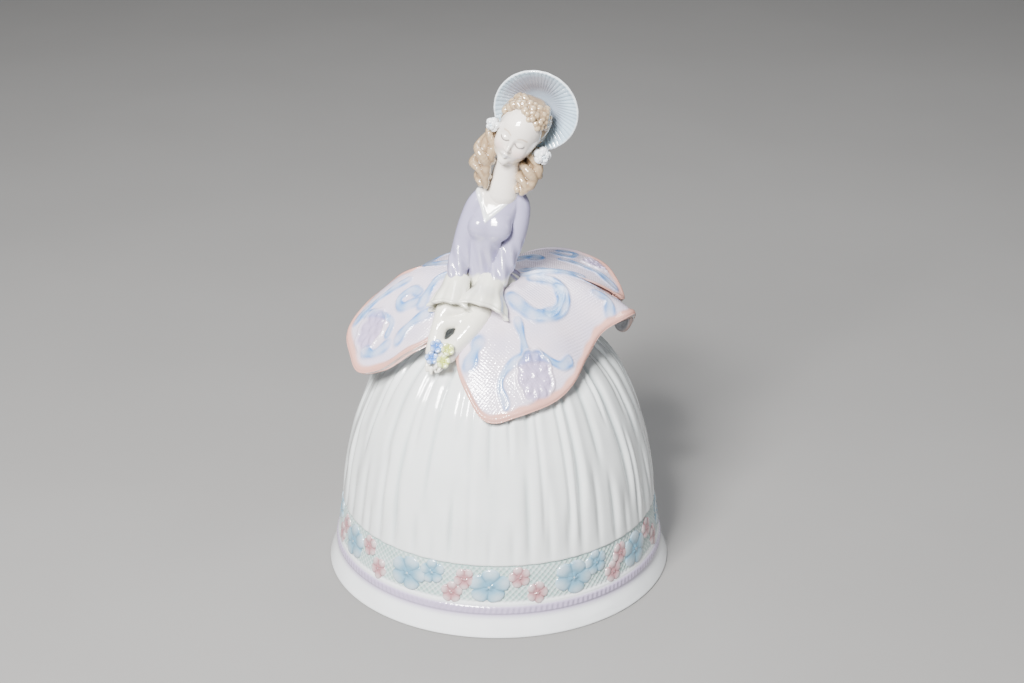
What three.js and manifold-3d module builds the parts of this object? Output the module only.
// Porcelain hand bell in the form of a standing lady: her wide skirt is the bell, and a clapper hangs in it.
// Millimetres, +Z up. The origin is the centre of the skirt's bottom rim, and she faces -Y.
// Each porcelain piece is cast by itself and luted to its neighbours with a thin slip joint, JOINT wide here.

import * as THREE from "three";
import { mergeVertices } from "three/addons/utils/BufferGeometryUtils.js";
import Module from "manifold-3d";

const wasm = await Module();
wasm.setup();

// ---- Driving dimensions ---------------------------------------------------------------------------------

const JOINT = 0.3; // slip joint between two porcelain pieces
const RIM_RADIUS = 56; // outer radius of the rim that the bell stands on
const SHELL_WALL = 3; // thickness of the skirt shell

// Outer profile of the skirt, from the rim to the crown: [radius, height].
const SKIRT_PROFILE = [
  [56.0, 0],
  [54.9, 2.6],
  [53.1, 6.9],
  [52.9, 9.4],
  [52.4, 10.6],
  [51.4, 16.8],
  [50.5, 22.8],
  [49.4, 30],
  [48.2, 38],
  [46.4, 46],
  [43.9, 54],
  [41.1, 61],
  [38.2, 67],
  [33.8, 73],
  [27.1, 79],
  [19.4, 85],
  [12.0, 91],
  [6.6, 95],
];
const CROWN_TOP = 96; // height of the crown around the hanger's hole
const CROWN_CEILING = 88; // underside of the solid crown
const HANGER_HOLE = 3; // radius of the hole through the crown

// Pleats that are pressed into the skirt between the flower band and the crown.
const PLEAT_LOW = 24;
const PLEAT_FULL = 40;
const PLEAT_COUNT = 26;
const PLEAT_DEPTH = 0.45;

const PANEL_THICKNESS = 1.5; // overskirt
const PANEL_WAIST_RADIUS = 7;
const PANEL_WAIST_HEIGHT = 97.6;

// Clapper and its hanger.
const PIVOT_HEIGHT = 72;
const CLAPPER_LENGTH = 48; // from the pivot to the middle of the ball
const BALL_RADIUS = 8;
const WIRE_RADIUS = 0.75;
const EYE_RING_RADIUS = 3.2; // of the swivel's eye, to the middle of its wire
const LOOP_RING_RADIUS = 1.9; // of the clapper's loop, to the middle of its wire
const BUSH_RADIUS = HANGER_HOLE - JOINT;
const PIN_CLEARANCE = 0.35; // between the swivel pin and its bush

// The head is tilted to her left, turned to her right and bowed.
const HEAD_CENTRE = new THREE.Vector3(6.4, -2.6, 146.2);
const HEAD_TILT = THREE.MathUtils.degToRad(26);
const HEAD_TURN = THREE.MathUtils.degToRad(-14);
const HEAD_BOW = THREE.MathUtils.degToRad(12);

const BONNET_CENTRE = new THREE.Vector3(11.6, -0.4, 152.6); // middle of the brim's edge
const BONNET_RADIUS = 13.2;
const BONNET_AXIS = new THREE.Vector3(-0.22, -0.97, -0.08).normalize(); // the way the bonnet opens

// ---- Materials ------------------------------------------------------------------------------------------

function glaze(color) {
  return new THREE.MeshStandardMaterial({ color, roughness: 0.12, metalness: 0 });
}

const WHITE_GLAZE = glaze(0xeef1f4);
const LACE_GLAZE = glaze(0xe9e2ee);
const BODICE_GLAZE = glaze(0xd3d0e2);
const CREAM_GLAZE = glaze(0xf0eee2);
const SKIN_GLAZE = glaze(0xf3ebe4);
const HAIR_GLAZE = glaze(0xcdb591);
const BONNET_GLAZE = glaze(0xc3d9e3);
const BLUE_GLAZE = glaze(0x8fb3dc);
const GREEN_GLAZE = glaze(0xdfe3a8);
const BRASS = new THREE.MeshStandardMaterial({ color: 0xb99a5b, roughness: 0.32, metalness: 1 });
const BISQUE = new THREE.MeshStandardMaterial({ color: 0xe9e6df, roughness: 0.7, metalness: 0 });

// ---- Helpers --------------------------------------------------------------------------------------------

// A three.js geometry as a solid that can be joined and cut.
function solid(geometry) {
  const bare = geometry.index ? geometry.toNonIndexed() : geometry.clone();
  bare.deleteAttribute("normal");
  bare.deleteAttribute("uv");
  const merged = mergeVertices(bare, 1e-4);
  const mesh = new wasm.Mesh({
    numProp: 3,
    vertProperties: new Float32Array(merged.attributes.position.array),
    triVerts: new Uint32Array(merged.index.array),
  });
  return new wasm.Manifold(mesh);
}

// A solid as a named three.js mesh.
function part(name, shape, material) {
  const mesh = shape.getMesh();
  const geometry = new THREE.BufferGeometry();
  geometry.setAttribute("position", new THREE.BufferAttribute(new Float32Array(mesh.vertProperties), 3));
  geometry.setIndex(new THREE.BufferAttribute(new Uint32Array(mesh.triVerts), 1));
  geometry.computeVertexNormals();
  const made = new THREE.Mesh(geometry, material);
  made.name = name;
  return made;
}

function union(shapes) {
  return shapes.reduce((all, shape) => all.add(shape));
}

// Cuts a shape and keeps its largest body, without the crumbs that a shallow cut leaves.
function cutBy(shape, cutters) {
  const left = cutters.reduce((rest, cutter) => rest.subtract(cutter), shape);
  return left.decompose().sort((a, b) => b.volume() - a.volume())[0];
}

// Moves each vertex of a geometry by a function of its place.
function reshape(geometry, move) {
  const position = geometry.attributes.position;
  const point = new THREE.Vector3();
  for (let i = 0; i < position.count; i += 1) {
    point.fromBufferAttribute(position, i);
    const moved = move(point);
    position.setXYZ(i, moved.x, moved.y, moved.z);
  }
  return geometry;
}

// Linear interpolation in a table whose rows start with their key.
function readTable(table, key) {
  const last = table.length - 1;
  if (key <= table[0][0]) return table[0].slice(1);
  if (key >= table[last][0]) return table[last].slice(1);
  const high = table.findIndex((row) => row[0] >= key);
  const low = high - 1;
  const share = (key - table[low][0]) / (table[high][0] - table[low][0]);
  return table[low].slice(1).map((value, i) => THREE.MathUtils.lerp(value, table[high][i + 1], share));
}

// A closed limb through stations [x, y, z, half width, half depth]. Each section is square to the limb's
// line, or level where the body only leans a little.
function limb(stations, { grow = 0, around = 12, steps = stations.length + 2, level = false } = {}) {
  const line = new THREE.CatmullRomCurve3(stations.map((s) => new THREE.Vector3(s[0], s[1], s[2])));
  const widths = new THREE.SplineCurve(stations.map((s) => new THREE.Vector2(s[3], s[4])));
  const tube = new THREE.CylinderGeometry(1, 1, 1, around, steps);
  return solid(
    reshape(tube, (p) => {
      const along = THREE.MathUtils.clamp(0.5 - p.y, 0, 1);
      const centre = line.getPoint(along);
      const tangent = level ? new THREE.Vector3(0, 0, 1) : line.getTangent(along);
      const size = widths.getPoint(along);
      const side = new THREE.Vector3(0, 1, 0).cross(tangent).normalize();
      const front = tangent.clone().cross(side).normalize();
      if (along === 0) centre.addScaledVector(tangent, -grow);
      if (along === 1) centre.addScaledVector(tangent, grow);
      centre.addScaledVector(side, p.x * (size.x + grow));
      return centre.addScaledVector(front, p.z * (size.y + grow));
    }),
  );
}

// An ellipsoid with half sizes, turned by a quaternion and moved to a centre.
function egg(centre, half, turn = new THREE.Quaternion(), { grow = 0, fine = 14 } = {}) {
  const ball = new THREE.SphereGeometry(1, fine, Math.round(fine * 0.7));
  return solid(
    reshape(ball, (p) => {
      const scaled = new THREE.Vector3(p.x * (half.x + grow), p.y * (half.y + grow), p.z * (half.z + grow));
      return scaled.applyQuaternion(turn).add(centre);
    }),
  );
}

// A lathe about +Z from a profile [radius, height] that closes on itself or starts and ends on the axis.
function lathe(profile, segments) {
  const points = profile.map(([radius, height]) => new THREE.Vector2(radius, height));
  const turned = new THREE.LatheGeometry(points, segments);
  return turned.rotateX(Math.PI / 2);
}

function post(radius, low, high, segments = 20) {
  return solid(
    new THREE.CylinderGeometry(radius, radius, high - low, segments)
      .rotateX(Math.PI / 2)
      .translate(0, 0, (low + high) / 2),
  );
}

// A thin box, bent so that its face follows place(across, along), with its thickness square to that face.
function bentSheet(place, { across, along, thickness, grow = 0 }) {
  const step = 0.01;
  const sheet = new THREE.BoxGeometry(1, 1, 1, across, along, 1);
  return solid(
    reshape(sheet, (p) => {
      const s = p.x + 0.5;
      const t = p.y + 0.5;
      const here = place(s, t);
      const acrossWay = place(s + step, t).sub(place(s - step, t)).normalize();
      const alongWay = place(s, t + step).sub(place(s, t - step)).normalize();
      const out = acrossWay.clone().cross(alongWay).normalize();
      here.addScaledVector(out, 2 * p.z * (thickness / 2 + grow));
      if (s === 0 || s === 1) here.addScaledVector(acrossWay, (2 * s - 1) * grow);
      if (t === 0 || t === 1) here.addScaledVector(alongWay, (2 * t - 1) * grow);
      return here;
    }),
  );
}

// ---- Skirt: the bell itself -----------------------------------------------------------------------------

const skirtByHeight = SKIRT_PROFILE.map(([radius, height]) => [height, radius]);

function pleatDepth(angle, height) {
  const fade = THREE.MathUtils.smoothstep(height, PLEAT_LOW, PLEAT_FULL);
  const wave = 0.5 + 0.5 * Math.cos(PLEAT_COUNT * angle + 0.9 * Math.sin(3 * angle));
  return fade * PLEAT_DEPTH * wave;
}

function skirtOutline(grow) {
  const outer = SKIRT_PROFILE.map(([radius, height]) => [radius + grow, height + grow]);
  return [[0, -grow], [RIM_RADIUS + grow, -grow], ...outer, [0, CROWN_TOP + grow]];
}

// The skirt as one filled solid, used to keep its neighbours off it.
function skirtBody(grow) {
  return solid(lathe(skirtOutline(grow * 1.3), 48));
}

// The inner face opposite a point of the outer one; the dome's wall is measured square to its slope.
function wallInside([radius, height]) {
  const slope = THREE.MathUtils.smoothstep(height, 55, 80);
  return [radius - SHELL_WALL * (1 + 0.1 * slope), height - 0.75 * SHELL_WALL * slope];
}

function skirtShell() {
  const outer = SKIRT_PROFILE.slice(0, -1);
  const inner = outer.filter(([, height]) => height > 20 && height < 84).map(wallInside).reverse();
  const profile = [
    ...outer,
    [6.6, 95],
    [HANGER_HOLE + 0.6, CROWN_TOP],
    [HANGER_HOLE, CROWN_TOP - 0.4],
    [HANGER_HOLE, CROWN_CEILING],
    [8, CROWN_CEILING - 1],
    [15, 83],
    ...inner,
    [50.6, 4],
    [52.6, 0],
    [RIM_RADIUS, 0],
  ];
  const shell = lathe(profile, 2 * PLEAT_COUNT);
  return solid(
    reshape(shell, (p) => {
      const radius = Math.hypot(p.x, p.y);
      const [wall] = readTable(skirtByHeight, p.z);
      if (radius < wall - 0.5 || p.z > 90) return p;
      const dip = pleatDepth(Math.atan2(p.y, p.x), p.z);
      return new THREE.Vector3((p.x * (radius - dip)) / radius, (p.y * (radius - dip)) / radius, p.z);
    }),
  );
}

// ---- Overskirt: four lace panels, each hanging from the waist -------------------------------------------

// Each row: direction from the axis in degrees (-90 is the front), then radius and height halfway down, and
// radius and height at the hem.
const PANELS = {
  overskirt_front_right: [
    [-118, 18.5, 89.2, 27.3, 82.2],
    [-106, 23.5, 86.8, 35.6, 74.4],
    [-97, 25, 86.2, 39.9, 67.9],
    [-82, 25, 86.4, 39.8, 68.2],
    [-66, 25, 87.6, 38.6, 70.8],
    [-52, 24.5, 89.2, 37, 74.2],
    [-37, 23, 91.2, 34.2, 79.8],
    [-21, 23, 93.2, 35, 84.3],
    [-9, 25, 94.8, 41.6, 87.2],
    [0, 26, 95.3, 43.2, 85],
    [9, 26, 94.6, 40.8, 74.5],
  ],
  overskirt_back_right: [
    [13, 26, 94.2, 41.6, 84.2],
    [30, 27, 94, 44.3, 86.6],
    [46, 27.5, 94, 46.8, 89.2],
    [60, 27, 94, 45.2, 90.1],
    [76, 25, 94.2, 39.6, 89.4],
    [88, 24, 94, 34.5, 84],
  ],
  overskirt_back_left: [
    [93, 24, 94, 34.5, 83],
    [108, 26, 95, 42, 80],
    [124, 28, 95.3, 46, 78],
    [140, 28, 94.6, 44, 78],
    [160, 26, 95, 39, 82],
  ],
  overskirt_front_left: [
    [164, 25, 97.6, 36.5, 88.8],
    [173, 25.5, 96.6, 42, 85],
    [182, 26, 95.2, 47.3, 79.6],
    [191, 26, 93.6, 47, 75],
    [200, 25.5, 92.4, 46, 71.8],
    [208, 25, 91.6, 41.4, 74.6],
    [218, 23, 91.2, 35.6, 81.6],
    [227, 20, 90.8, 29.6, 85.2],
  ],
};

function panelPoint(table, s, t) {
  const first = table[0][0];
  const last = table[table.length - 1][0];
  const degrees = THREE.MathUtils.lerp(first, last, s);
  const [midRadius, midHeight, hemRadius, hemHeight] = readTable(table, degrees);
  const run = new THREE.QuadraticBezierCurve(
    new THREE.Vector2(PANEL_WAIST_RADIUS, PANEL_WAIST_HEIGHT),
    new THREE.Vector2(
      2 * midRadius - (PANEL_WAIST_RADIUS + hemRadius) / 2,
      2 * midHeight - (PANEL_WAIST_HEIGHT + hemHeight) / 2,
    ),
    new THREE.Vector2(hemRadius, hemHeight),
  ).getPoint(t);
  const angle = THREE.MathUtils.degToRad(degrees);
  return new THREE.Vector3(run.x * Math.cos(angle), run.x * Math.sin(angle), run.y);
}

function panel(table, grow = 0) {
  const span = table[table.length - 1][0] - table[0][0];
  const options = { across: Math.round(span / 8), along: 6, thickness: PANEL_THICKNESS, grow };
  return bentSheet((s, t) => panelPoint(table, s, 1 - t), options);
}

// ---- Figure ---------------------------------------------------------------------------------------------

function torso(grow = 0) {
  const body = limb(
    [
      [-1.6, -1.4, 96.2, 9.6, 8.6],
      [-2.8, -2.2, 98.8, 8.2, 7.0],
      [-5.0, -3.6, 102.5, 5.8, 4.9],
      [-4.8, -3.6, 108, 5.8, 4.9],
      [-3.4, -3.4, 113.2, 6.3, 5.6],
      [-2.2, -3.2, 117.4, 6.9, 6.0],
      [-0.8, -2.4, 121.2, 7.2, 5.0],
      [0.3, -1.4, 124.6, 7.2, 4.3],
      [1.0, -1.0, 127.4, 6.0, 3.6],
      [1.6, -0.9, 129.4, 3.7, 3.1],
    ],
    { grow, around: 16, steps: 13, level: true },
  );
  const bustSize = new THREE.Vector3(3.1, 2.6, 3.2);
  const bust = [
    [-5.9, -7.0, 117.8],
    [0.6, -7.2, 116.6],
  ].map((centre) => egg(new THREE.Vector3(...centre), bustSize, undefined, { grow, fine: 10 }));
  return union([body, ...bust]);
}

const SLEEVES = {
  sleeve_right: [
    [-5.2, -1.2, 126.6, 2.0, 2.2],
    [-6.8, -1.0, 122.8, 3.1, 3.2],
    [-8.8, -1.0, 116, 3.3, 3.4],
    [-10.4, -1.8, 110.4, 3.3, 3.3],
    [-11.8, -4.6, 104.8, 3.2, 3.2],
    [-13.0, -7.8, 100.4, 3.0, 3.0],
  ],
  sleeve_left: [
    [6.4, -1.2, 126.2, 2.0, 2.2],
    [6.8, -0.8, 122.0, 3.1, 3.2],
    [5.6, -0.8, 114.8, 3.3, 3.4],
    [3.4, -2.0, 108.6, 3.3, 3.3],
    [1.2, -5.4, 103.4, 3.2, 3.2],
    [-0.8, -8.4, 99.4, 3.0, 3.0],
  ],
};

// Flared cuffs: [top centre, bottom centre, top radius, hem radius].
const CUFFS = {
  cuff_right: [
    [-13.4, -8.4, 99.8],
    [-16.0, -17.0, 94.0],
    3.9,
    6.0,
  ],
  cuff_left: [
    [-0.9, -8.8, 98.6],
    [-4.0, -18.2, 91.8],
    4.0,
    8.8,
  ],
};
const CUFF_FLUTES = 9;

function cuff([top, bottom, topRadius, hemRadius], grow = 0) {
  const start = new THREE.Vector3(...top);
  const end = new THREE.Vector3(...bottom);
  const way = end.clone().sub(start).normalize();
  const turn = new THREE.Quaternion().setFromUnitVectors(new THREE.Vector3(0, 0, 1), way);
  const length = start.distanceTo(end);
  const cone = lathe(
    [
      [0, -grow],
      [topRadius + grow, -grow],
      [topRadius * 1.15 + grow, length * 0.35],
      [hemRadius * 0.86 + grow, length * 0.75],
      [hemRadius + grow, length + grow],
      [hemRadius * 0.7 + grow, length + grow],
      [0, length * 0.8 + grow],
    ],
    4 * CUFF_FLUTES,
  );
  return solid(
    reshape(cone, (p) => {
      const share = THREE.MathUtils.clamp(p.z / length, 0, 1);
      const flute = 1 + 0.1 * share * Math.cos(CUFF_FLUTES * Math.atan2(p.y, p.x));
      return new THREE.Vector3(p.x * flute, p.y * flute * 0.8, p.z).applyQuaternion(turn).add(start);
    }),
  );
}

const HANDS = {
  hand_right: [
    [-16.6, -15.2, 93.6, 2.8, 2.4],
    [-18.0, -18.6, 89.4, 2.7, 2.3],
    [-18.9, -21.2, 85.4, 2.9, 2.2],
    [-19.8, -23.4, 82.0, 2.7, 1.8],
    [-20.6, -25.4, 78.8, 1.4, 1.0],
  ],
  hand_left: [
    [-4.8, -17.2, 90.8, 3.1, 2.6],
    [-8.0, -20.4, 87.6, 3.0, 2.5],
    [-11.2, -22.6, 84.8, 3.1, 2.4],
    [-14.0, -24.8, 82.4, 2.8, 2.0],
    [-16.8, -26.6, 80.8, 1.4, 1.0],
  ],
};

// Small flowers in her fingers: [centre, radius].
const POSY = {
  posy_blue_upper: [[-18.7, -25.4, 85.6], 2.0, BLUE_GLAZE],
  posy_blue_lower: [[-20.2, -27.0, 82.4], 2.0, BLUE_GLAZE],
  posy_green_upper: [[-15.2, -27.4, 85.4], 2.0, GREEN_GLAZE],
  posy_green_lower: [[-16.6, -29.2, 82.2], 2.0, GREEN_GLAZE],
};
const PETALS = 5;

function blossom([x, y, z], radius, grow = 0) {
  const facing = new THREE.Quaternion().setFromEuler(new THREE.Euler(0.9, 0.1, 0));
  const flower = lathe(
    [
      [0, -0.45 * radius - grow],
      [0.7 * radius + grow, -0.4 * radius - grow],
      [radius + grow, 0.1 * radius],
      [0.6 * radius, 0.4 * radius + grow],
      [0, 0.3 * radius + grow],
    ],
    3 * PETALS,
  );
  return solid(
    reshape(flower, (p) => {
      const lobe = 1 + 0.14 * Math.cos(PETALS * Math.atan2(p.y, p.x));
      const petal = new THREE.Vector3(p.x * lobe, p.y * lobe, p.z);
      return petal.applyQuaternion(facing).add(new THREE.Vector3(x, y, z));
    }),
  );
}

// ---- Head -----------------------------------------------------------------------------------------------

const headTurn = new THREE.Quaternion()
  .setFromAxisAngle(new THREE.Vector3(0, 1, 0), HEAD_TILT)
  .multiply(new THREE.Quaternion().setFromAxisAngle(new THREE.Vector3(0, 0, 1), HEAD_TURN))
  .multiply(new THREE.Quaternion().setFromAxisAngle(new THREE.Vector3(1, 0, 0), HEAD_BOW));

// A point given in the head's own frame: +X to her left, -Y to her face, +Z to her crown.
function onHead(x, y, z) {
  return new THREE.Vector3(x, y, z).applyQuaternion(headTurn).add(HEAD_CENTRE);
}

function skull(grow = 0) {
  const upper = egg(onHead(0, 0, 1.6), new THREE.Vector3(6.9, 7.5, 8.0), headTurn, { grow, fine: 16 });
  const jaw = egg(onHead(0, -2.2, -3.6), new THREE.Vector3(5.3, 5.1, 6.2), headTurn, { grow, fine: 14 });
  const nose = egg(onHead(0, -7.4, -1.6), new THREE.Vector3(0.9, 1.1, 2.0), headTurn, { grow, fine: 6 });
  return union([upper, jaw, nose]);
}

function neck(grow = 0) {
  const top = onHead(0, 0.8, -4);
  return limb(
    [
      [1.4, -1.0, 126.8, 4.4, 3.5],
      [2.0, -0.9, 130.2, 3.7, 3.2],
      [2.8, -0.9, 134.5, 3.4, 3.1],
      [top.x, top.y, top.z, 3.4, 3.5],
    ],
    { grow },
  );
}

function head(grow = 0) {
  return union([skull(grow), neck(grow)]);
}

// Curls of the fringe: [across, forward, up, radius] in the head's frame.
const FRINGE = [
  [-4.6, -3.6, 6.6, 1.9],
  [-1.8, -4.8, 8.2, 2.1],
  [1.4, -4.6, 8.8, 2.2],
  [4.2, -3.4, 7.8, 2.2],
  [6.0, -1.8, 5.2, 2.1],
  [3.0, -5.4, 6.6, 1.9],
  [0.0, -2.4, 10.2, 2.1],
  [3.4, -1.4, 9.8, 2.1],
];

// The hair that falls over the nape to the shoulders.
const NAPE = [
  [6.0, 2.4, 145.0, 4.6, 4.0],
  [4.4, 3.2, 139.0, 4.6, 3.2],
  [3.2, 3.2, 133.5, 4.4, 2.6],
  [2.4, 3.0, 129.8, 3.4, 1.8],
];

function hair(grow = 0) {
  const cap = egg(onHead(0, 1.6, 2.6), new THREE.Vector3(7.5, 7.8, 8.4), headTurn, { grow, fine: 14 });
  const curls = FRINGE.map(([x, y, z, radius]) =>
    egg(onHead(x, y, z), new THREE.Vector3(radius, radius, radius), headTurn, { grow, fine: 6 }),
  );
  return union([cap, ...curls, limb(NAPE, { grow })]);
}

// Ringlets fall from behind the ears to the shoulders: centres, then a radius that swells at each turn.
const RINGLETS = {
  ringlets_right: [
    [-1.6, -1.4, 144.8],
    [-4.2, -2.0, 139.4],
    [-4.0, -3.0, 134.6],
    [-2.4, -4.2, 130.6],
  ],
  ringlets_left: [
    [10.8, -2.0, 138.6],
    [10.4, -2.6, 134.4],
    [9.4, -3.6, 131.0],
    [7.6, -4.6, 128.4],
  ],
};

function ringlets(centres, grow = 0) {
  const line = new THREE.CatmullRomCurve3(centres.map((c) => new THREE.Vector3(...c)));
  const turns = 5;
  const curls = Array.from({ length: turns }, (_, i) => {
    const at = line.getPoint(i / (turns - 1));
    const radius = 2.9 - 0.16 * Math.abs(i - 2);
    return egg(at, new THREE.Vector3(radius, radius, radius), undefined, { grow, fine: 8 });
  });
  return union(curls);
}

// ---- Bonnet ---------------------------------------------------------------------------------------------

// A brim that dips towards a crown; the crown is solid clay behind the head.
function bonnet() {
  const profile = [
    [0, -12.6],
    [3.6, -12.3],
    [6.6, -10.6],
    [8.4, -7.6],
    [9.2, -4.6],
    [11.2, -2.2],
    [BONNET_RADIUS - 0.4, -0.8],
    [BONNET_RADIUS, 0],
    [BONNET_RADIUS - 1, 0.1],
    [10.6, -0.8],
    [8.4, -1.8],
    [6.4, -2.8],
    [3.2, -4.0],
    [0, -4.4],
  ];
  const turn = new THREE.Quaternion().setFromUnitVectors(new THREE.Vector3(0, 0, 1), BONNET_AXIS);
  return solid(
    reshape(lathe(profile, 26), (p) => p.clone().applyQuaternion(turn).add(BONNET_CENTRE)),
  );
}

// Rosettes of ribbon over both ears: centre and radius.
const ROSETTES = {
  rosette_right: [[-1.4, -3.6, 149.8], 2.3],
  rosette_left: [[13.8, -4.6, 139.8], 2.7],
};

function rosette([x, y, z], radius, grow = 0) {
  const lobes = Array.from({ length: 4 }, (_, i) => {
    const angle = (i * Math.PI) / 2 + 0.5;
    const reach = 0.55 * radius;
    const at = new THREE.Vector3(x + reach * Math.cos(angle), y, z + reach * Math.sin(angle));
    const size = new THREE.Vector3(0.62 * radius, 0.6 * radius, 0.62 * radius);
    return egg(at, size, undefined, { grow, fine: 6 });
  });
  return union(lobes);
}

// ---- Hanger and clapper ---------------------------------------------------------------------------------

const EYE_CENTRE = PIVOT_HEIGHT + EYE_RING_RADIUS;
const BUSH_TOP = CROWN_TOP - 1.8;
const BUSH_BOTTOM = CROWN_CEILING - 3.4;

function hangerBush() {
  const bore = WIRE_RADIUS + PIN_CLEARANCE;
  return solid(
    lathe(
      [
        [bore, BUSH_BOTTOM],
        [5.2, BUSH_BOTTOM],
        [6.2, BUSH_BOTTOM + 0.8],
        [6.2, CROWN_CEILING - 1 - JOINT],
        [BUSH_RADIUS, CROWN_CEILING - 1 - JOINT],
        [BUSH_RADIUS, BUSH_TOP],
        [bore, BUSH_TOP],
        [bore, BUSH_BOTTOM],
      ],
      24,
    ),
  );
}

// A headed pin that turns in the bush, with the eye that carries the clapper bent at its lower end.
function swivelEye() {
  const ring = new THREE.TorusGeometry(EYE_RING_RADIUS, WIRE_RADIUS, 8, 18);
  ring.rotateX(Math.PI / 2).translate(0, 0, EYE_CENTRE);
  const shank = post(WIRE_RADIUS, EYE_CENTRE + EYE_RING_RADIUS - 0.2, BUSH_TOP + 0.6, 12);
  const collar = post(2, BUSH_BOTTOM - 1.5, BUSH_BOTTOM - JOINT, 16);
  const rivet = post(2, BUSH_TOP + 0.25, BUSH_TOP + 1.2, 16);
  return union([solid(ring), shank, collar, rivet]);
}

// The loop goes round the lowest point of the eye, so the clapper swings about that point.
function clapperWire() {
  const loop = new THREE.TorusGeometry(LOOP_RING_RADIUS, WIRE_RADIUS, 8, 16);
  loop.rotateY(Math.PI / 2).translate(0, 0, PIVOT_HEIGHT);
  const end = PIVOT_HEIGHT - CLAPPER_LENGTH - BALL_RADIUS;
  const stem = post(WIRE_RADIUS, end - 0.8, PIVOT_HEIGHT - LOOP_RING_RADIUS + 0.2, 12);
  const stop = post(1.6, end - 1.8, end - JOINT, 14);
  return union([solid(loop), stem, stop]);
}

function clapperBall() {
  const middle = PIVOT_HEIGHT - CLAPPER_LENGTH;
  const ball = egg(
    new THREE.Vector3(0, 0, middle),
    new THREE.Vector3(BALL_RADIUS, BALL_RADIUS, BALL_RADIUS),
    undefined,
    { fine: 18 },
  );
  const bore = post(WIRE_RADIUS + JOINT, middle - 2 * BALL_RADIUS, middle + 2 * BALL_RADIUS, 12);
  return ball.subtract(bore);
}

// ---- Assembly -------------------------------------------------------------------------------------------

const bell = new THREE.Group();
bell.name = "lady_bell";

function add(name, shape, material) {
  bell.add(part(name, shape, material));
}

const skirt = skirtBody(JOINT);
const rivetRoom = post(2.6, CROWN_TOP - 3, CROWN_TOP + 1.4);
const torsoRoom = torso(JOINT);
const headRoom = head(JOINT);
const sleeveRooms = Object.values(SLEEVES).map((stations) => limb(stations, { grow: JOINT }));
const cuffRooms = Object.values(CUFFS).map((shape) => cuff(shape, JOINT));
const handRooms = Object.values(HANDS).map((stations) => limb(stations, { grow: JOINT }));
const ringletRooms = Object.values(RINGLETS).map((centres) => ringlets(centres, JOINT));
const rosetteRooms = Object.values(ROSETTES).map(([centre, radius]) => rosette(centre, radius, JOINT));
const hairRoom = hair(JOINT);

add("skirt_shell", skirtShell(), WHITE_GLAZE);

const panelRooms = Object.values(PANELS).map((table) => panel(table, JOINT));
for (const [name, table] of Object.entries(PANELS)) {
  add(name, cutBy(panel(table), [skirt, torsoRoom]), LACE_GLAZE);
}

add("bodice", cutBy(torso(), [skirt, rivetRoom, headRoom]), BODICE_GLAZE);

for (const [name, stations] of Object.entries(SLEEVES)) {
  add(name, cutBy(limb(stations), [torsoRoom, ...panelRooms]), BODICE_GLAZE);
}

const lap = [skirt, ...panelRooms];
const cuffNeighbours = [...lap, torsoRoom, ...sleeveRooms];
add("cuff_right", cutBy(cuff(CUFFS.cuff_right), [...cuffNeighbours, cuffRooms[1]]), CREAM_GLAZE);
add("cuff_left", cutBy(cuff(CUFFS.cuff_left), cuffNeighbours), CREAM_GLAZE);

add("hand_right", cutBy(limb(HANDS.hand_right), [...lap, ...cuffRooms, handRooms[1]]), SKIN_GLAZE);
add("hand_left", cutBy(limb(HANDS.hand_left), [...lap, ...cuffRooms]), SKIN_GLAZE);

let earlier = handRooms;
for (const [name, [centre, radius, material]] of Object.entries(POSY)) {
  add(name, cutBy(blossom(centre, radius), earlier), material);
  earlier = [...earlier, blossom(centre, radius, JOINT)];
}

add("head", head(), SKIN_GLAZE);
add("hair", cutBy(hair(), [headRoom, torsoRoom, ...sleeveRooms]), HAIR_GLAZE);
for (const [name, centres] of Object.entries(RINGLETS)) {
  add(name, cutBy(ringlets(centres), [headRoom, hairRoom, torsoRoom, ...sleeveRooms]), HAIR_GLAZE);
}
for (const [name, [centre, radius]] of Object.entries(ROSETTES)) {
  add(name, cutBy(rosette(centre, radius), [headRoom, hairRoom, ...ringletRooms]), WHITE_GLAZE);
}
add("bonnet", cutBy(bonnet(), [headRoom, hairRoom, ...ringletRooms, ...rosetteRooms]), BONNET_GLAZE);

add("hanger_bush", hangerBush(), BISQUE);
add("swivel_eye", swivelEye(), BRASS);
add("clapper_wire", clapperWire(), BRASS);
add("clapper_ball", clapperBall(), BISQUE);

export default bell;
